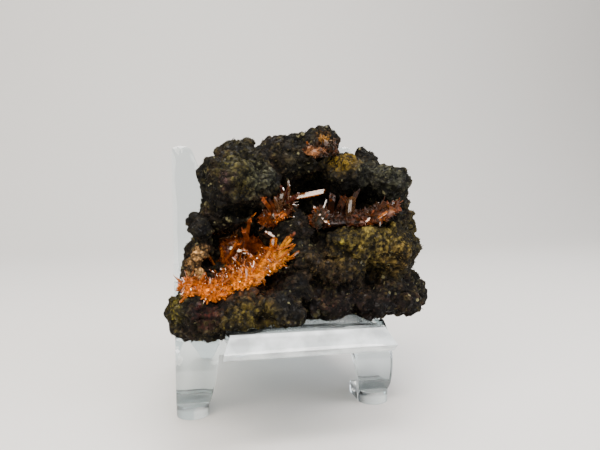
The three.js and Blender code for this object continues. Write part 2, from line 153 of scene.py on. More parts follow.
# Single blades: the point that the camera sees them rooted at, the share of their length below
# it, how they lie, and length, width and thickness in mm.
BLADES = (
    ("cluster_blade", (-6.2, -21, 64.2), 0.06, (0.98, 0, 0.06), 12.5, 1.8, 0.6),
    ("cluster_prism_a", (-8.5, -22, 62), 0.2, (0.3, 0, 0.95), 7.5, 1.4, 1),
    ("cluster_prism_b", (-7.2, -22, 61.5), 0.2, (-0.5, 0, 0.86), 7, 1.2, 0.9),
    ("cluster_prism_c", (-9.5, -22, 60.5), 0.2, (-0.3, 0, 0.95), 6.5, 1.1, 0.8),
    ("cluster_prism_d", (-6.4, -22, 62.5), 0.2, (0.7, 0, 0.7), 6, 1, 0.7),
    ("cluster_prism_e", (-5.2, -22, 60.5), 0.2, (-0.75, 0, 0.65), 5.5, 0.9, 0.7),
    ("cluster_needle", (-6.5, -22, 64), 0.2, (0.08, 0, 1), 8, 0.6, 0.5),
    ("band_tip_blade", (-12.4, -29, 54.9), 0.5, (0.8, 0, -0.6), 4.2, 1.1, 0.5),
    ("band_upright", (-12.8, -29.3, 49.6), 0.15, (0.2, 0, 0.98), 6.5, 1.9, 1.3),
    ("outlined_prism", (-21.6, -31.3, 51.1), 0.5, (0.9, 0, -0.4), 6, 1.3, 0.9),
    ("band_prism_a", (-18.6, -35.3, 45.6), 0.3, (0.5, 0, 0.85), 4.6, 1, 0.7),
    ("band_prism_b", (-31.8, -33.3, 43.4), 0.3, (0.4, 0, 0.9), 5, 1, 0.8),
    ("band_prism_c", (-24, -33, 43.5), 0.3, (-0.3, 0, 0.95), 4.4, 0.9, 0.7),
    ("band_prism_d", (-26, -33, 42.5), 0.3, (0.8, 0, 0.5), 4, 0.8, 0.6),
    ("band_needle_a", (-10.4, -30.3, 48.8), 0.2, (0.78, 0, 0.62), 7.5, 0.6, 0.5),
    ("band_needle_b", (-9.4, -30.3, 47.6), 0.2, (0.72, 0, 0.7), 7, 0.6, 0.5),
    ("band_needle_c", (-11, -30.3, 50.8), 0.2, (0.9, 0, 0.42), 6, 0.55, 0.45),
    ("back_prism_a", (-25.5, -27, 47.5), 0.2, (-0.15, 0, 1), 6.5, 1, 0.8),
    ("back_prism_b", (-23, -27, 50.5), 0.2, (0.55, 0, 0.83), 5, 1, 0.7),
    ("back_prism_c", (-18, -27, 48.2), 0.2, (-0.6, 0, 0.8), 5.5, 0.9, 0.7),
    ("back_prism_d", (-16, -27, 49.5), 0.2, (0.35, 0, 0.93), 5, 0.8, 0.6),
    ("back_prism_e", (-28, -27, 47), 0.2, (-0.5, 0, 0.86), 4.5, 0.8, 0.6),
    ("brown_band_a", (-26.9, -25.3, 55.4), 0.5, (1, 0, -0.05), 8.5, 1.5, 0.9),
    ("brown_band_b", (-23.5, -25.3, 54.2), 0.5, (0.98, 0, 0.15), 6, 1.2, 0.8),
    ("violet_prism", (-21.8, -27.3, 56), 0.5, (0.6, 0, 0.8), 4, 1.1, 0.8),
    ("white_needle", (-17.7, -27.3, 59.4), 0.5, (0.75, 0, 0.65), 4.6, 0.35, 0.3),
    ("cavity_prism_a", (11.2, -21, 59), 0.2, (0.12, 0, 1), 8, 2.4, 1.8),
    ("crest_needle_a", (0, -28, 61), 0.5, (-0.62, 0, 0.78), 3.4, 0.6, 0.4),
    ("crest_needle_b", (1.9, -28.3, 59), 0.5, (-0.62, 0, 0.78), 3.4, 0.7, 0.4),
    ("crest_needle_c", (3.4, -28.3, 57.7), 0.5, (-0.5, 0, 0.86), 2.4, 0.7, 0.4),
    ("rim_prism_a", (14.5, -29, 58.2), 0.5, (0.7, 0, 0.7), 2.4, 0.7, 0.5),
    ("rim_prism_b", (19.5, -28, 59.6), 0.5, (0.85, 0, 0.5), 3.2, 0.8, 0.6),
)

FORWARD = (0, -0.2, 0.2)  # the small crystals lean to the front and up
ROOTED = 0.3  # share of a small crystal that is sunk in its crust

# Each crust's small crystals: prisms and laths per square mm, lath length and width in mm.
CRUSTS = {
    "pocket": (3.4, 0.45, 2.8, 0.42),
    "cluster": (2.4, 0.3, 2.8, 0.5),
    "cavity": (1.6, 0.05, 2.0, 0.45),
    "top": (3.6, 0.03, 2.0, 0.5),
}
SLIMMEST = 3.2  # the sides of the crusts' larger prisms are slimmer than this and stay bare


def linear(code):
    """The linear RGBA of an sRGB hex colour."""
    parts = [int(code[n:n + 2], 16) / 255 for n in (0, 2, 4)]
    return tuple(p / 12.92 if p <= 0.04045 else ((p + 0.055) / 1.055) ** 2.4 for p in parts) + (1.0,)


def size_mm(label, default, description):
    """A length setting whose default is given in mm."""
    return FloatProperty(name=label, description=description, default=default * MM, min=0, unit="LENGTH")


def colour(label, code, description):
    """A colour setting whose default is an sRGB hex colour."""
    return FloatVectorProperty(
        name=label, description=description, default=linear(code), size=4, min=0, max=1,
        subtype="COLOR")


class MatrixSettings(bpy.types.PropertyGroup):
    voxel: size_mm("Voxel", 0.56, "Width of the cells that the rock's surface is drawn with")
    crag_width: size_mm("Crag width", 7.5, "Width of the crags that break up the big masses")
    crag_height: size_mm("Crag height", 2.2, "Height of those crags")
    knob_width: size_mm("Knob width", 3.2, "Width of the small broken knobs all over the rock")
    knob_height: size_mm("Knob height", 0.75, "Height of the small knobs")
    druse_width: size_mm("Druse width", 1.4, "Width of the drusy bumps on the knobs")
    druse_height: size_mm("Druse height", 0.4, "Height of the drusy bumps")
    easel_gap: size_mm("Easel gap", 0.3, "Gap that the rock keeps from the easel where they touch")
    grain_gap: size_mm("Grain gap", 1.1, "No grain or fibre is rooted nearer to the easel than this")
    bed_depth: size_mm("Bed depth", 0.5, "How far the rock may rise into a crust of crocoite")
    grain: size_mm("Grain", 0.5, "Typical size of the loose-looking crystal grains")
    grains: IntProperty(name="Grains", description="Number of crystal grains", default=14000, min=0)
    fibres: IntProperty(name="Fibres", description="Number of slender crust crystals", default=12000, min=0)
    dark: colour("Dark", "100f0a", "Main colour of the rock")
    brown: colour("Brown", "1c130b", "Second colour of the rock")
    olive: colour("Olive", "353018", "Colour of its drusy crust")


class CrocoiteSettings(bpy.types.PropertyGroup):
    prism_length: size_mm("Prism length", 1.2, "Typical length of the small prisms")
    prism_width: size_mm("Prism width", 0.38, "Typical width of the small prisms")
    deep: colour("Deep", "8c4204", "Colour of the crust away from its bright areas")
    brown: colour("Brown", "481e06", "Colour of its darkest parts")
    clear: colour("Clear", "d07414", "Colour of a clear blade")
    smoky: colour("Smoky", "6b4a2c", "Colour of the deep brown blades")


class EaselSettings(bpy.types.PropertyGroup):
    edge: size_mm("Edge", 0.5, "Rounding of the polished edges")
    facet: size_mm("Facet", 5.0, "Facets narrower than this belong to a bend and are smoothed")
    tint: colour("Tint", "e6eef0", "Tint of the clear sheet")


class StudioSettings(bpy.types.PropertyGroup):
    floor: colour("Floor", "d9d8d4", "Colour of the floor")
    key: FloatProperty(
        name="Key light", description="Power of the main light", default=11.0, min=0, unit="POWER")


def settings(name):
    return getattr(bpy.context.scene, name)


# ---- meshes ----
def shown(name, verts, faces, material, smooth=False):
    """A new linked object from vertices and faces."""
    mesh = bpy.data.meshes.new(name)
    mesh.from_pydata(np.asarray(verts).tolist(), [], [list(face) for face in faces])
    mesh.materials.append(material)
    if smooth:
        mesh.shade_smooth()
    mesh.validate()
    piece = bpy.data.objects.new(name, mesh)
    bpy.context.scene.collection.objects.link(piece)
    return piece


def settled(piece):
    """Puts the result of the piece's modifiers into its mesh."""
    graph = bpy.context.evaluated_depsgraph_get()
    mesh = bpy.data.meshes.new_from_object(piece.evaluated_get(graph))
    piece.modifiers.clear()
    piece.data = mesh
    return piece


def copy_of(node, name):
    piece = bpy.data.objects.new(name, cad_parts[node].data.copy())
    bpy.context.scene.collection.objects.link(piece)
    return piece


def arrays(mesh):
    """Vertex places and vertex normals as arrays."""
    co = np.empty(len(mesh.vertices) * 3)
    mesh.vertices.foreach_get("co", co)
    normal = np.empty(len(mesh.vertices) * 3)
    mesh.vertex_normals.foreach_get("vector", normal)
    return co.reshape(-1, 3), normal.reshape(-1, 3)


def samples(mesh, count, chance, draw, slimmest=100):
    """Even random points on a mesh and the normals there; chance(point, normal) thins them.
    Triangles whose longest side squared is over slimmest times twice their area are left bare."""
    mesh.calc_loop_triangles()
    corners = np.empty(len(mesh.loop_triangles) * 3, int)
    mesh.loop_triangles.foreach_get("vertices", corners)
    co, _ = arrays(mesh)
    a, b, c = (co[corners.reshape(-1, 3)[:, n]] for n in range(3))
    cross = np.cross(b - a, c - a)
    area = np.linalg.norm(cross, axis=1)
    longest = np.max([np.linalg.norm(side, axis=1) for side in (b - a, c - b, a - c)], axis=0)
    weight = area * (longest ** 2 < slimmest * area)
    picked = draw.choice(len(area), count, p=weight / weight.sum())
    u, v = draw.random((2, count))
    flip = u + v > 1
    u[flip], v[flip] = 1 - u[flip], 1 - v[flip]
    points = a[picked] + u[:, None] * (b - a)[picked] + v[:, None] * (c - a)[picked]
    normals = cross[picked] / area[picked][:, None]
    kept = draw.random(count) < chance(points, normals)
    return points[kept], normals[kept]


def turned_to(along, draw):
    """Rotations that take +Z to the given directions, each with a random roll."""
    along = along / np.linalg.norm(along, axis=1)[:, None]
    side = np.cross(along, draw.normal(size=along.shape))
    side /= np.linalg.norm(side, axis=1)[:, None]
    return np.stack([side, np.cross(along, side), along], axis=2)


def strewn(name, template, places, turns, scales, material):
    """One mesh of many copies of a small template."""
    verts, faces = template
    grown = verts[None] * scales[:, None, :]
    world = np.einsum("nij,nkj->nki", turns, grown) + places[:, None, :]
    count = len(verts)
    every = [[corner + count * n for corner in face] for n in range(len(places)) for face in faces]
    return shown(name, world.reshape(-1, 3), every, material)


def grain_template():
    """A blunt, lopsided crystal grain of unit size."""
    verts = np.array([(0.5, 0.05, 0), (0.05, 0.42, 0.1), (-0.48, 0.1, -0.05), (-0.1, -0.5, 0.05),
                      (0.08, 0.05, 0.55), (0, 0, -0.4)])
    faces = [(0, 1, 4), (1, 2, 4), (2, 3, 4), (3, 0, 4), (1, 0, 5), (2, 1, 5), (3, 2, 5), (0, 3, 5)]
    return verts, faces


def crystal(ring, ends, tip):
    """A closed prism over a ring of six points, each side ending at its own height below a tip."""
    verts = [(x, y, 0) for x, y in ring] + [(x, y, z) for (x, y), z in zip(ring, ends)]
    verts.append(tip)
    faces = [(n, (n + 1) % 6, (n + 1) % 6 + 6, n + 6) for n in range(6)]
    faces += [(n + 6, (n + 1) % 6 + 6, 12) for n in range(6)]
    faces.append((5, 4, 3, 2, 1, 0))
    return np.array(verts), faces


def prism_template():
    """A rhombic prism of unit length and width with a slanting end."""
    ring = [(0.5, 0), (0.12, 0.36), (-0.12, 0.36), (-0.5, 0), (-0.12, -0.36), (0.12, -0.36)]
    return crystal(ring, (0.8, 0.9, 0.98, 0.9, 0.82, 0.76), (0.04, 0.02, 1.02))


def blade_template():
    """A flat six-sided blade of unit length and width with a chisel end."""
    ring = [(0.5, 0), (0.38, 0.5), (-0.38, 0.5), (-0.5, 0), (-0.38, -0.5), (0.38, -0.5)]
    return crystal(ring, (0.9, 0.97, 0.92, 0.84, 0.8, 0.86), (0.1, 0.05, 1.0))


# ---- materials ----
def add_node(tree, kind, properties=None, **links):
    """Adds a node with the given properties; links go to its inputs as values or sockets, where
    _0 is the first input and other names are the input's own."""
    node = tree.nodes.new(kind)
    for key, value in (properties or {}).items():
        setattr(node, key, value)
    for key, value in links.items():
        socket = node.inputs[int(key[1:]) if key[1:].isdigit() else key.replace("_", " ")]
        if isinstance(value, bpy.types.NodeSocket):
            tree.links.new(value, socket)
        else:
            socket.default_value = value
    return node


def new_material(name):
    material = bpy.data.materials.new(name)
    material.use_nodes = True
    tree = material.node_tree
    tree.nodes.clear()
    return material, tree


def finish_material(tree, shader, height, distance):
    """Links a shader to the output with a bump of the given height field."""
    bump = add_node(tree, "ShaderNodeBump", Strength=1.0, Distance=distance, Height=height)
    tree.links.new(bump.outputs["Normal"], shader.inputs["Normal"])
    add_node(tree, "ShaderNodeOutputMaterial", Surface=shader.outputs[0])


def area_colours(tree, place, base, wobble, areas, least):
    """Lays the named areas over a base colour, each mottled and fading out at a ragged rim."""
    result = base
    spots = add_node(tree, "ShaderNodeTexNoise", Vector=place, Scale=1 / (0.9 * MM), Detail=3.0)
    mottle = add_node(tree, "ShaderNodeMapRange", _0=spots.outputs[0], _1=0.4, _2=0.58, _3=least, _4=1.0)
    for _, middle, radius, code, share in areas:
        away = add_node(tree, "ShaderNodeVectorMath", {"operation": "DISTANCE"},
                        _0=place, _1=tuple(part * MM for part in middle))
        ragged = add_node(tree, "ShaderNodeMath", {"operation": "MULTIPLY_ADD"},
                          _0=wobble, _1=1.6 * radius * MM, _2=away.outputs["Value"])
        fade = add_node(tree, "ShaderNodeMapRange", {"interpolation_type": "SMOOTHSTEP"},
                        _0=ragged.outputs[0], _1=1.25 * radius * MM, _2=0.55 * radius * MM,
                        _3=0.0, _4=share)
        speckled = add_node(tree, "ShaderNodeMath", {"operation": "MULTIPLY"},
                            _0=fade.outputs[0], _1=mottle.outputs[0])
        mix = add_node(tree, "ShaderNodeMix", {"data_type": "RGBA"},
                       _0=speckled.outputs[0], _6=result, _7=linear(code))
        result = mix.outputs[2]
    return result


def limonite():
    """Limonite and coronadite gossan, broken and drusy: dark, earthy, with small glassy faces."""
    material, tree = new_material("limonite gossan")
    own = settings("matrix_settings")
    place = add_node(tree, "ShaderNodeTexCoord").outputs["Object"]
    broad = add_node(tree, "ShaderNodeTexNoise", Vector=place, Scale=1 / (7 * MM), Detail=4.0)
    fine = add_node(tree, "ShaderNodeTexNoise", Vector=place, Scale=1 / (1.4 * MM), Detail=5.0)
    wobble = add_node(tree, "ShaderNodeMath", {"operation": "SUBTRACT"}, _0=fine.outputs[0], _1=0.5)
    # Grains of about 0.8 mm, each with a tone of its own.
    grain = add_node(tree, "ShaderNodeTexVoronoi", Vector=place, Scale=1 / (0.8 * MM))
    tone = add_node(tree, "ShaderNodeSeparateColor", Color=grain.outputs["Color"])
    first = add_node(tree, "ShaderNodeMapRange", _0=broad.outputs[0], _1=0.4, _2=0.62)
    rock = add_node(tree, "ShaderNodeMix", {"data_type": "RGBA"},
                    _0=first.outputs[0], _6=tuple(own.dark), _7=tuple(own.brown))
    crust = add_node(tree, "ShaderNodeMapRange", _0=fine.outputs[0], _1=0.5, _2=0.7, _4=0.7)
    dusted = add_node(tree, "ShaderNodeMix", {"data_type": "RGBA"},
                      _0=crust.outputs[0], _6=rock.outputs[2], _7=tuple(own.olive))
    zoned = area_colours(tree, place, dusted.outputs[2], wobble.outputs[0], ROCK_AREAS, 0.35)
    lift = add_node(tree, "ShaderNodeMapRange", _0=tone.outputs[0], _1=0.0, _2=1.0, _3=0.25, _4=1.9)
    # Painted shade and light: cracks are painted black, as if in shade, and ridges lighter; the relief is
    # stored on the meshes.
    relief = add_node(tree, "ShaderNodeAttribute", {"attribute_name": "relief"})
    depth = add_node(tree, "ShaderNodeMapRange", _0=relief.outputs["Fac"], _1=0.25, _2=0.85, _3=0.12, _4=1.35)
    shade = add_node(tree, "ShaderNodeMath", {"operation": "MULTIPLY"},
                     _0=lift.outputs[0], _1=depth.outputs[0])
    toned = add_node(tree, "ShaderNodeMix", {"data_type": "RGBA", "blend_type": "MULTIPLY"},
                     _0=1.0, _6=zoned, _7=shade.outputs[0])
    # Painted glints: a few grains are painted pale, as if they caught the light.
    glint_mask = add_node(tree, "ShaderNodeMapRange", _0=tone.outputs[1], _1=0.985, _2=0.995, _4=0.4)
    glint_flecked = add_node(tree, "ShaderNodeMix", {"data_type": "RGBA"},
                       _0=glint_mask.outputs[0], _6=toned.outputs[2], _7=linear("8a8560"))
    rough = add_node(tree, "ShaderNodeMapRange", _0=tone.outputs[2], _1=0.0, _2=0.25, _3=0.3, _4=0.9)
    shader = add_node(tree, "ShaderNodeBsdfPrincipled", Base_Color=glint_flecked.outputs[2],
                      Roughness=rough.outputs[0], IOR=1.6, Specular_IOR_Level=0.1)
    finish_material(tree, shader, grain.outputs["Distance"], 0.25 * MM)
    return material


def crocoite_crust():
    """Fine crocoite, grown as a crust of tiny prisms: bright orange, glassy, hardly clear."""
    material, tree = new_material("crocoite crust")
    own = settings("crocoite_settings")
    place = add_node(tree, "ShaderNodeTexCoord").outputs["Object"]
    cloud = add_node(tree, "ShaderNodeTexNoise", Vector=place, Scale=1 / (2.2 * MM), Detail=3.0)
    grain = add_node(tree, "ShaderNodeTexVoronoi", Vector=place, Scale=1 / (0.7 * MM))
    tone = add_node(tree, "ShaderNodeSeparateColor", Color=grain.outputs["Color"])
    wobble = add_node(tree, "ShaderNodeMath", {"operation": "SUBTRACT"}, _0=cloud.outputs[0], _1=0.5)
    share = add_node(tree, "ShaderNodeMapRange", _0=cloud.outputs[0], _1=0.4, _2=0.6)
    base = add_node(tree, "ShaderNodeMix", {"data_type": "RGBA"},
                    _0=share.outputs[0], _6=tuple(own.deep), _7=tuple(own.brown))
    zoned = area_colours(tree, place, base.outputs[2], wobble.outputs[0], CROCOITE_AREAS, 0.75)
    lift = add_node(tree, "ShaderNodeMapRange", _0=tone.outputs[0], _1=0.0, _2=1.0, _3=0.65, _4=1.35)
    toned = add_node(tree, "ShaderNodeMix", {"data_type": "RGBA", "blend_type": "MULTIPLY"},
                     _0=1.0, _6=zoned, _7=lift.outputs[0])
    # Painted glints: a few grains are painted twice as bright, as if they caught the light.
    glint_mask = add_node(tree, "ShaderNodeMapRange", _0=tone.outputs[1], _1=0.85, _2=0.95)
    painted_glints = add_node(tree, "ShaderNodeMix", {"data_type": "RGBA", "blend_type": "ADD"},
                   _0=glint_mask.outputs[0], _6=toned.outputs[2], _7=toned.outputs[2])
    shader = add_node(tree, "ShaderNodeBsdfPrincipled", Base_Color=painted_glints.outputs[2],
                      Roughness=0.4, IOR=1.7, Specular_IOR_Level=0.12, Transmission_Weight=0.1)
    finish_material(tree, shader, cloud.outputs[0], 0.05 * MM)
    return material


def crocoite_blade(name, tint):
    """Crocoite grown as a clear blade: adamantine lustre, orange to brown, faint growth lines."""
    material, tree = new_material(name)
    place = add_node(tree, "ShaderNodeTexCoord").outputs["Object"]
    lines = add_node(tree, "ShaderNodeTexNoise", Vector=place, Scale=1 / (0.9 * MM), Detail=2.0)
    veil = add_node(tree, "ShaderNodeMapRange", _0=lines.outputs[0], _1=0.4, _2=0.7, _3=0.55, _4=0.95)
    shader = add_node(tree, "ShaderNodeBsdfPrincipled", Base_Color=tuple(tint),
                      Roughness=0.07, IOR=2.3, Transmission_Weight=veil.outputs[0])
    finish_material(tree, shader, lines.outputs[0], 0.02 * MM)
    return material


def acrylic():
    """Cast acrylic sheet, heat bent: clear, with a hard gloss, and a painted reflection: milky white along
    its front edge.
    """
    material, tree = new_material("cast acrylic sheet")
    own = settings("easel_settings")
    place = add_node(tree, "ShaderNodeTexCoord").outputs["Object"]
    haze = add_node(tree, "ShaderNodeTexNoise", Vector=place, Scale=1 / (9 * MM), Detail=4.0)
    rough = add_node(tree, "ShaderNodeMapRange", _0=haze.outputs[0], _1=0.45, _2=0.75, _3=0.02, _4=0.07)
    # The painted reflection, a mottled milky white, lies on the ledge's turned-down front edge alone.
    along = add_node(tree, "ShaderNodeSeparateXYZ", Vector=place)
    front = add_node(tree, "ShaderNodeMapRange", _0=along.outputs["Y"], _1=PAINTED_REFLECTION_BACK * MM, _2=PAINTED_REFLECTION_FRONT * MM)
    above = add_node(tree, "ShaderNodeMapRange", _0=along.outputs["Z"], _1=PAINTED_REFLECTION_LOW * MM, _2=PAINTED_REFLECTION_HIGH * MM)
    edge = add_node(tree, "ShaderNodeMath", {"operation": "MULTIPLY"},
                    _0=front.outputs[0], _1=above.outputs[0])
    cloud = add_node(tree, "ShaderNodeTexNoise", Vector=place, Scale=1 / (5 * MM), Detail=3.0)
    reflection_mottle = add_node(tree, "ShaderNodeMapRange", _0=cloud.outputs[0], _1=0.35, _2=0.65, _3=0.4, _4=0.7)
    painted_reflection = add_node(tree, "ShaderNodeMath", {"operation": "MULTIPLY"},
                      _0=edge.outputs[0], _1=reflection_mottle.outputs[0])
    # Painted reflection: where it lies, the sheet is less clear and shows its pale tint.
    clear = add_node(tree, "ShaderNodeMath", {"operation": "SUBTRACT"}, _0=0.98, _1=painted_reflection.outputs[0])
    shader = add_node(tree, "ShaderNodeBsdfPrincipled", Base_Color=tuple(own.tint),
                      Roughness=rough.outputs[0], IOR=1.49, Transmission_Weight=clear.outputs[0])
    finish_material(tree, shader, haze.outputs[0], 0.02 * MM)
    body = add_node(tree, "ShaderNodeVolumeAbsorption", Color=linear("b9ccd0"), Density=10.0)
    output = next(node for node in tree.nodes if node.type == "OUTPUT_MATERIAL")
    tree.links.new(body.outputs[0], output.inputs["Volume"])
    return material


def edge_highlight_paint():
    """Flame-polished edge of acrylic sheet with a painted highlight: near white and only partly clear, it
    shines whiter than the sheet.
    """
    material, tree = new_material("flame polished acrylic edge")
    place = add_node(tree, "ShaderNodeTexCoord").outputs["Object"]
    haze = add_node(tree, "ShaderNodeTexNoise", Vector=place, Scale=1 / (4 * MM), Detail=3.0)
    clear = add_node(tree, "ShaderNodeMapRange", _0=haze.outputs[0], _1=0.35, _2=0.65, _3=0.35, _4=0.75)
    shader = add_node(tree, "ShaderNodeBsdfPrincipled", Base_Color=linear("fbfbfb"),
                      Roughness=0.06, IOR=1.49, Transmission_Weight=clear.outputs[0])
    finish_material(tree, shader, haze.outputs[0], 0.02 * MM)
    return material


def paper_backdrop():
    """Matt seamless paper: pale and without gloss."""
    material, tree = new_material("seamless paper")
    place = add_node(tree, "ShaderNodeTexCoord").outputs["Object"]
    fibre = add_node(tree, "ShaderNodeTexNoise", Vector=place, Scale=1 / (1.5 * MM), Detail=2.0)
    shader = add_node(tree, "ShaderNodeBsdfPrincipled", Base_Color=tuple(settings("studio_settings").floor),
                      Roughness=0.8)
    finish_material(tree, shader, fibre.outputs[0], 0.01 * MM)
    return material


# ---- the matrix ----
def broken(place, width):
    """Height between about -1 and 1 of broken ground: plates with cracks between them."""
    at = place / width
    drift = Vector([noise.noise(at * 0.8 + Vector((far, -far, 2 * far))) for far in (0, 17.3, 41.9)])
    near = noise.voronoi(at + 0.7 * drift)[0]
    return 1.6 * min(near[1] - near[0], 0.5) + 0.9 * (0.45 - near[0])


def relief_at(place, own):
    """Height in metres of the rock's crags, knobs and druse at a place, and a share, 0 in a crack, that the
    painted shade is read from.
    """
    knob = broken(place, own.knob_width) - BROKEN_MEAN
    druse = broken(place + Vector((0.3, 0.1, 0.7)), own.druse_width) - BROKEN_MEAN
    height = own.crag_height * noise.fractal(place / own.crag_width, 0.9, 2.1, 3)
    height += own.knob_height * knob + own.druse_height * druse
    return height, 0.5 + 0.45 * knob + 0.4 * druse


def tree_of(*pieces):
    """A search tree over several meshes together."""
    verts, faces = [], []
    for piece in pieces:
        start = len(verts)
        verts += [vertex.co.copy() for vertex in piece.data.vertices]
        faces += [[start + n for n in face.vertices] for face in piece.data.polygons]
    return BVHTree.FromPolygons(verts, faces)


def set_relief(piece, crack_shades):
    """Stores how high each vertex stands, 0 in a crack, for the rock's material, which paints shade into the
    cracks from it.
    """
    piece.data.attributes.new("relief", "FLOAT", "POINT").data.foreach_set("value", np.array(crack_shades))


def crust_nodes():
    """The CAD crusts."""
    return [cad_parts[f"crocoite_{name}"] for name in CRUSTS]


def build_matrix():
    """The rock: its solid drawn with small cells, worn, and broken up by its relief."""
    own = settings("matrix_settings")
    rock = copy_of("matrix", "matrix_rock")
    remesh = rock.modifiers.new("cells", "REMESH")
    remesh.mode = "VOXEL"
    remesh.voxel_size = own.voxel
    smooth = rock.modifiers.new("worn", "SMOOTH")
    smooth.iterations = 5
    smooth.factor = 0.5
    settled(rock)
    easel = tree_of(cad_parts["easel"])
    crusts = tree_of(*crust_nodes())
    co, normal = arrays(rock.data)
    moved, crack_shades = [], []
    for point, out in zip(co, normal):
        place = Vector(point)
        rise, share = relief_at(place, own)
        rise = min(rise, easel.find_nearest(place)[3] - own.easel_gap,
                   crusts.find_nearest(place)[3] + own.bed_depth)
        moved.append(place + Vector(out) * rise)
        crack_shades.append(share)
    rock.data.vertices.foreach_set("co", np.array(moved).ravel())
    set_relief(rock, crack_shades)
    rock.data.update()
    rock.data.materials.clear()
    rock.data.materials.append(limonite())
    rock.data.shade_smooth()
    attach(rock, BODY)
    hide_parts("matrix")


def build_druse():
    """Grains and slender crystals strewn over the rock in patches, clear of the easel."""
    own = settings("matrix_settings")
    rock = bpy.data.objects["matrix_rock"]
    easel = tree_of(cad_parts["easel"])
    draw = np.random.default_rng(11)
    low, high = np.array(CAD_BOX[0]), np.array(CAD_BOX[1])

    def chance(points, normals):
        patchy = [0.3 + 1.6 * max(0, noise.noise(Vector(p) / (5 * MM))) for p in points]
        clear = [easel.find_nearest(Vector(p))[3] > own.grain_gap for p in points]
        inside = ((points > low) & (points < high)).all(axis=1)
        return np.array(patchy) * np.array(clear) * inside

    for name, count, lean, shape, wide in (
            ("matrix_druse", own.grains, 0.6, (1, 1, 1), 0.35),
            ("matrix_fibres", own.fibres, 1.6, (0.45, 0.45, 2.1), 0.3)):
        places, normals = samples(rock.data, count * 2, chance, draw)
        places, normals = places[:count], normals[:count]
        turns = turned_to(normals + draw.normal(size=normals.shape) * lean, draw)
        grown = own.grain * draw.lognormal(0, wide, len(places))[:, None]
        scales = grown * draw.uniform(0.6, 1.3, (len(places), 3)) * np.array(shape)
        grains = strewn(name, grain_template(), places, turns, scales, rock.data.materials[0])
        set_relief(grains, np.repeat(draw.uniform(0.3, 1.0, len(places)), len(grain_template()[0])))
        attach(grains, BODY)


# ---- crocoite ----
def build_crusts():
    """The crusts keep their solids, and small prisms and laths grow over them."""
    own = settings("crocoite_settings")
    fine = crocoite_crust()
    clear = crocoite_blade("crocoite blade", own.clear)
    smoky = crocoite_blade("smoky crocoite blade", own.smoky)
    for seed, (name, (prisms, laths, lath_length, lath_width)) in enumerate(CRUSTS.items()):
        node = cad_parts[f"crocoite_{name}"]
        node.data.materials.clear()
        node.data.materials.append(fine)
        draw = np.random.default_rng(100 + seed)
        area = sum(face.area for face in node.data.polygons) / MM ** 2

        def chance(points, normals):
            return np.clip(0.5 - normals[:, 1] * 0.5 + normals[:, 2] * 0.5, 0, 1)

        for kind, density, length, width, lift, template, material in (
                ("prisms", prisms, own.prism_length, own.prism_width, 0.8, prism_template(), fine),
                ("laths", laths, lath_length * MM, lath_width * MM, 0.9, blade_template(),
                 clear if name in ("pocket", "top") else smoky)):
            places, normals = samples(node.data, int(area * density), chance, draw, SLIMMEST)
            across = np.cross(normals, draw.normal(size=normals.shape))
            along = lift * normals + across / np.linalg.norm(across, axis=1)[:, None] * 0.7
            along += np.array(FORWARD)
            long = length * draw.lognormal(-0.1, 0.4, len(places))
            wide = width * draw.lognormal(0, 0.3, len(places))
            scales = np.stack([wide, wide * 0.7, long], axis=1)
            sunk = places - along / np.linalg.norm(along, axis=1)[:, None] * (long * ROOTED)[:, None]
            strewn_piece = strewn(f"{name}_{kind}", template, sunk, turned_to(along, draw), scales, material)
            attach(strewn_piece, BODY)


def seat(tree, eye, seen):
    """The point of the surface seen in the direction of a point, and the surface's normal there."""
    place, normal, _, _ = tree.ray_cast(eye, (seen - eye).normalized())
    if place is None:
        raise RuntimeError(f"no surface carries the blade at {tuple(seen)}")
    return place, normal


def build_blades():
    """Each blade is rooted in the surface behind it and leans out of it."""
    rock = bpy.data.objects["matrix_rock"]
    tree = tree_of(rock, *crust_nodes())
    eye = bpy.context.scene.camera.location.copy()
    lamp = bpy.data.objects["key"].location
    clear, smoky = (bpy.data.materials[name] for name in ("crocoite blade", "smoky crocoite blade"))
    verts, faces = blade_template()
    for number, (name, seen, held, lie, length, width, thick) in enumerate(BLADES):
        foot, normal = seat(tree, eye, Vector(seen) * MM)
        towards = (eye - foot).normalized()
        if name in GLINTS:
            out = (towards + (lamp - foot).normalized()).normalized()
            along = Vector(lie) - out * out.dot(Vector(lie))
        else:
            along = Vector(lie).normalized() + 0.3 * towards + 0.15 * normal
            out = along.cross(towards).cross(along).normalized()
            out.rotate(Quaternion(along.normalized(), math.radians(ROLLS[number % len(ROLLS)])))
        along.normalize()
        # The blade's middle lies in front of the surface, so that its broad face isn't buried.
        root = foot + out * (0.4 * thick * MM) - along * (held * length * MM)
        turn = np.array([along.cross(out) * -1, out, along]).T
        scaled = verts * np.array([width, thick, length]) * MM
        deep = name.startswith(SMOKY)
        blade = shown(name, scaled @ turn.T + np.array(root), faces, smoky if deep else clear)
        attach(blade, BODY)


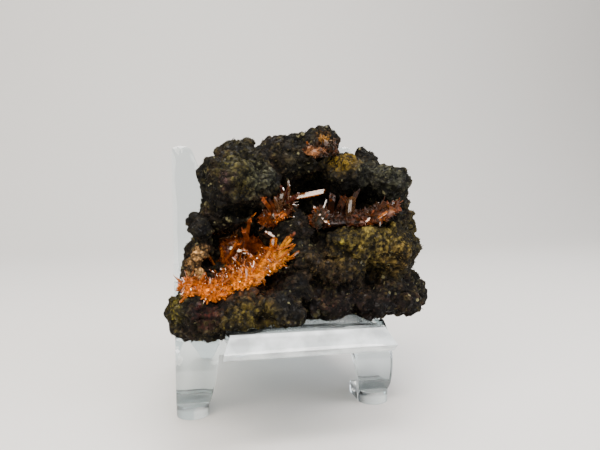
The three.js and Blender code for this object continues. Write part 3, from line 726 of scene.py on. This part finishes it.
# ---- the easel ----
def build_easel():
    """The easel: its facets are merged and subdivided, so that its bends run smooth."""
    own = settings("easel_settings")
    sheet = copy_of("easel", "easel_sheet")
    mesh = bmesh.new()
    mesh.from_mesh(sheet.data)
    bmesh.ops.remove_doubles(mesh, verts=mesh.verts, dist=0.01 * MM)
    bmesh.ops.dissolve_limit(mesh, angle_limit=math.radians(1.5), verts=mesh.verts, edges=mesh.edges)
    bmesh.ops.connect_verts_concave(mesh, faces=mesh.faces)
    # Only the narrow facets of the bends are smoothed: the flats and the outlines keep their place.
    crease = mesh.edges.layers.float.new("crease_edge")
    corner = mesh.verts.layers.float.new("crease_vert")
    for edge in mesh.edges:
        depth = max(face.calc_area() for face in edge.link_faces) / edge.calc_length()
        if edge.calc_face_angle(math.pi) > math.radians(30) or depth > own.facet:
            edge[crease] = 1.0
            if edge.calc_length() > own.facet:
                for vert in edge.verts:
                    vert[corner] = 1.0
    mesh.to_mesh(sheet.data)
    mesh.free()
    smooth = sheet.modifiers.new("smooth bends", "SUBSURF")
    smooth.levels = 2
    sheet.data.materials.clear()
    sheet.data.materials.append(acrylic())
    sheet.data.materials.append(edge_highlight_paint())
    bevel = sheet.modifiers.new("polished edges", "BEVEL")
    bevel.width = own.edge
    bevel.segments = 2
    bevel.limit_method = "ANGLE"
    bevel.angle_limit = math.radians(40)
    # The rounded edges take the edge material with its painted highlight.
    bevel.material = 1
    settled(sheet)
    sheet.data.shade_smooth()
    sheet.data.set_sharp_from_angle(angle=math.radians(35))
    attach(sheet, BODY)
    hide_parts("easel")


# ---- the studio ----
def area_light(name, at, towards, size, power, tint):
    data = bpy.data.lights.new(name, "AREA")
    data.shape = "RECTANGLE"
    data.size, data.size_y = size
    data.energy = power
    data.color = linear(tint)[:3]
    light = bpy.data.objects.new(name, data)
    light.location = at
    light.rotation_euler = (Vector(towards) - Vector(at)).to_track_quat("-Z", "Y").to_euler()
    bpy.context.scene.collection.objects.link(light)


def build_studio():
    """A paper sweep with three soft lights and a strip light, and the camera."""
    own = settings("studio_settings")
    front, start, sweep, back, rise = -1.2, 0.35, 0.35, 0.7, 0.9
    across = 1.6
    drop = -0.1 * MM
    profile = [(front, drop), (start, drop)]
    profile += [(start + sweep * math.sin(a), sweep - sweep * math.cos(a) + drop)
                for a in np.linspace(0, math.pi / 2, 13)[1:]]
    profile.append((back, rise))
    verts = [(x, y, z) for y, z in profile for x in (-across, across)]
    faces = [(2 * n, 2 * n + 1, 2 * n + 3, 2 * n + 2) for n in range(len(profile) - 1)]
    backdrop = shown("backdrop", verts, faces, paper_backdrop(), smooth=True)
    middle = (0, 0, 0.05)
    area_light("key", (-0.35, -0.45, 0.55), middle, (0.7, 0.7), own.key, "fff6ea")
    area_light("fill", (0.55, -0.35, 0.25), middle, (0.5, 0.5), own.key * 0.35, "eef3ff")
    area_light("top", (0.05, 0.12, 0.75), middle, (0.5, 0.4), own.key * 0.5, "ffffff")
    area_light("strip", (0.05, -0.34, 0.62), middle, (0.7, 0.14), own.key * 0.5, "fff4f2")
    world = bpy.data.worlds.new("studio")
    world.use_nodes = True
    world.node_tree.nodes["Background"].inputs["Color"].default_value = linear("e9ebee")
    world.node_tree.nodes["Background"].inputs["Strength"].default_value = 0.25
    bpy.context.scene.world = world
    bpy.context.scene.cycles.max_bounces = 32
    bpy.context.scene.cycles.transmission_bounces = 32
    low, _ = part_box("easel")
    camera = bpy.data.objects.new("camera", bpy.data.cameras.new("camera"))
    camera.data.lens = 36
    camera.data.sensor_width = 36
    camera.data.clip_start = 0.01
    camera.location = (low.x, low.y - EYE_BEFORE * MM, EYE_HEIGHT * MM)
    camera.rotation_euler = (math.radians(90 - LOOK_DOWN), 0, math.radians(-LOOK_RIGHT))
    bpy.context.scene.collection.objects.link(camera)
    bpy.context.scene.camera = camera


# ---- operators ----
class SPECIMEN_OT_studio(bpy.types.Operator):
    """Sets up the backdrop, the lights and the camera"""
    bl_idname = "specimen.studio"
    bl_label = "Studio"

    def execute(self, context):
        build_studio()
        return {"FINISHED"}


class SPECIMEN_OT_matrix(bpy.types.Operator):
    """Builds the knobbly dark rock in place of its plain solid"""
    bl_idname = "specimen.matrix"
    bl_label = "Matrix"

    def execute(self, context):
        build_matrix()
        return {"FINISHED"}


class SPECIMEN_OT_druse(bpy.types.Operator):
    """Strews the rock with fine crystal grains"""
    bl_idname = "specimen.druse"
    bl_label = "Druse"

    def execute(self, context):
        build_druse()
        return {"FINISHED"}


class SPECIMEN_OT_crusts(bpy.types.Operator):
    """Finishes the crocoite crusts and grows their small prisms"""
    bl_idname = "specimen.crusts"
    bl_label = "Crocoite Crusts"

    def execute(self, context):
        build_crusts()
        return {"FINISHED"}


class SPECIMEN_OT_blades(bpy.types.Operator):
    """Grows the single clear blades of crocoite"""
    bl_idname = "specimen.blades"
    bl_label = "Crocoite Blades"

    def execute(self, context):
        build_blades()
        return {"FINISHED"}


class SPECIMEN_OT_easel(bpy.types.Operator):
    """Builds the clear easel with its polished edges, which carry a painted highlight"""
    bl_idname = "specimen.easel"
    bl_label = "Easel"

    def execute(self, context):
        build_easel()
        return {"FINISHED"}


OPERATORS = (SPECIMEN_OT_studio, SPECIMEN_OT_matrix, SPECIMEN_OT_druse, SPECIMEN_OT_crusts,
             SPECIMEN_OT_blades, SPECIMEN_OT_easel)
SETTINGS = {"matrix_settings": MatrixSettings, "crocoite_settings": CrocoiteSettings,
            "easel_settings": EaselSettings, "studio_settings": StudioSettings}


class SPECIMEN_PT_panel(bpy.types.Panel):
    bl_label = "Crocoite on Matrix"
    bl_space_type = "VIEW_3D"
    bl_region_type = "UI"
    bl_category = "Specimen"

    def draw(self, context):
        for operator in OPERATORS:
            self.layout.operator(operator.bl_idname)
        for name, group in SETTINGS.items():
            box = self.layout.box()
            for key in group.__annotations__:
                box.prop(getattr(context.scene, name), key)


def register():
    for group in SETTINGS.values():
        bpy.utils.register_class(group)
    for name, group in SETTINGS.items():
        setattr(bpy.types.Scene, name, PointerProperty(type=group))
    for one in OPERATORS + (SPECIMEN_PT_panel,):
        bpy.utils.register_class(one)


def unregister():
    for one in (SPECIMEN_PT_panel,) + OPERATORS:
        bpy.utils.unregister_class(one)
    for name in SETTINGS:
        delattr(bpy.types.Scene, name)
    for group in SETTINGS.values():
        bpy.utils.unregister_class(group)


def main():
    register()
    bpy.ops.specimen.studio()
    bpy.ops.specimen.matrix()
    bpy.ops.specimen.druse()
    bpy.ops.specimen.crusts()
    bpy.ops.specimen.blades()
    bpy.ops.specimen.easel()


if __name__ == "__main__":
    main()
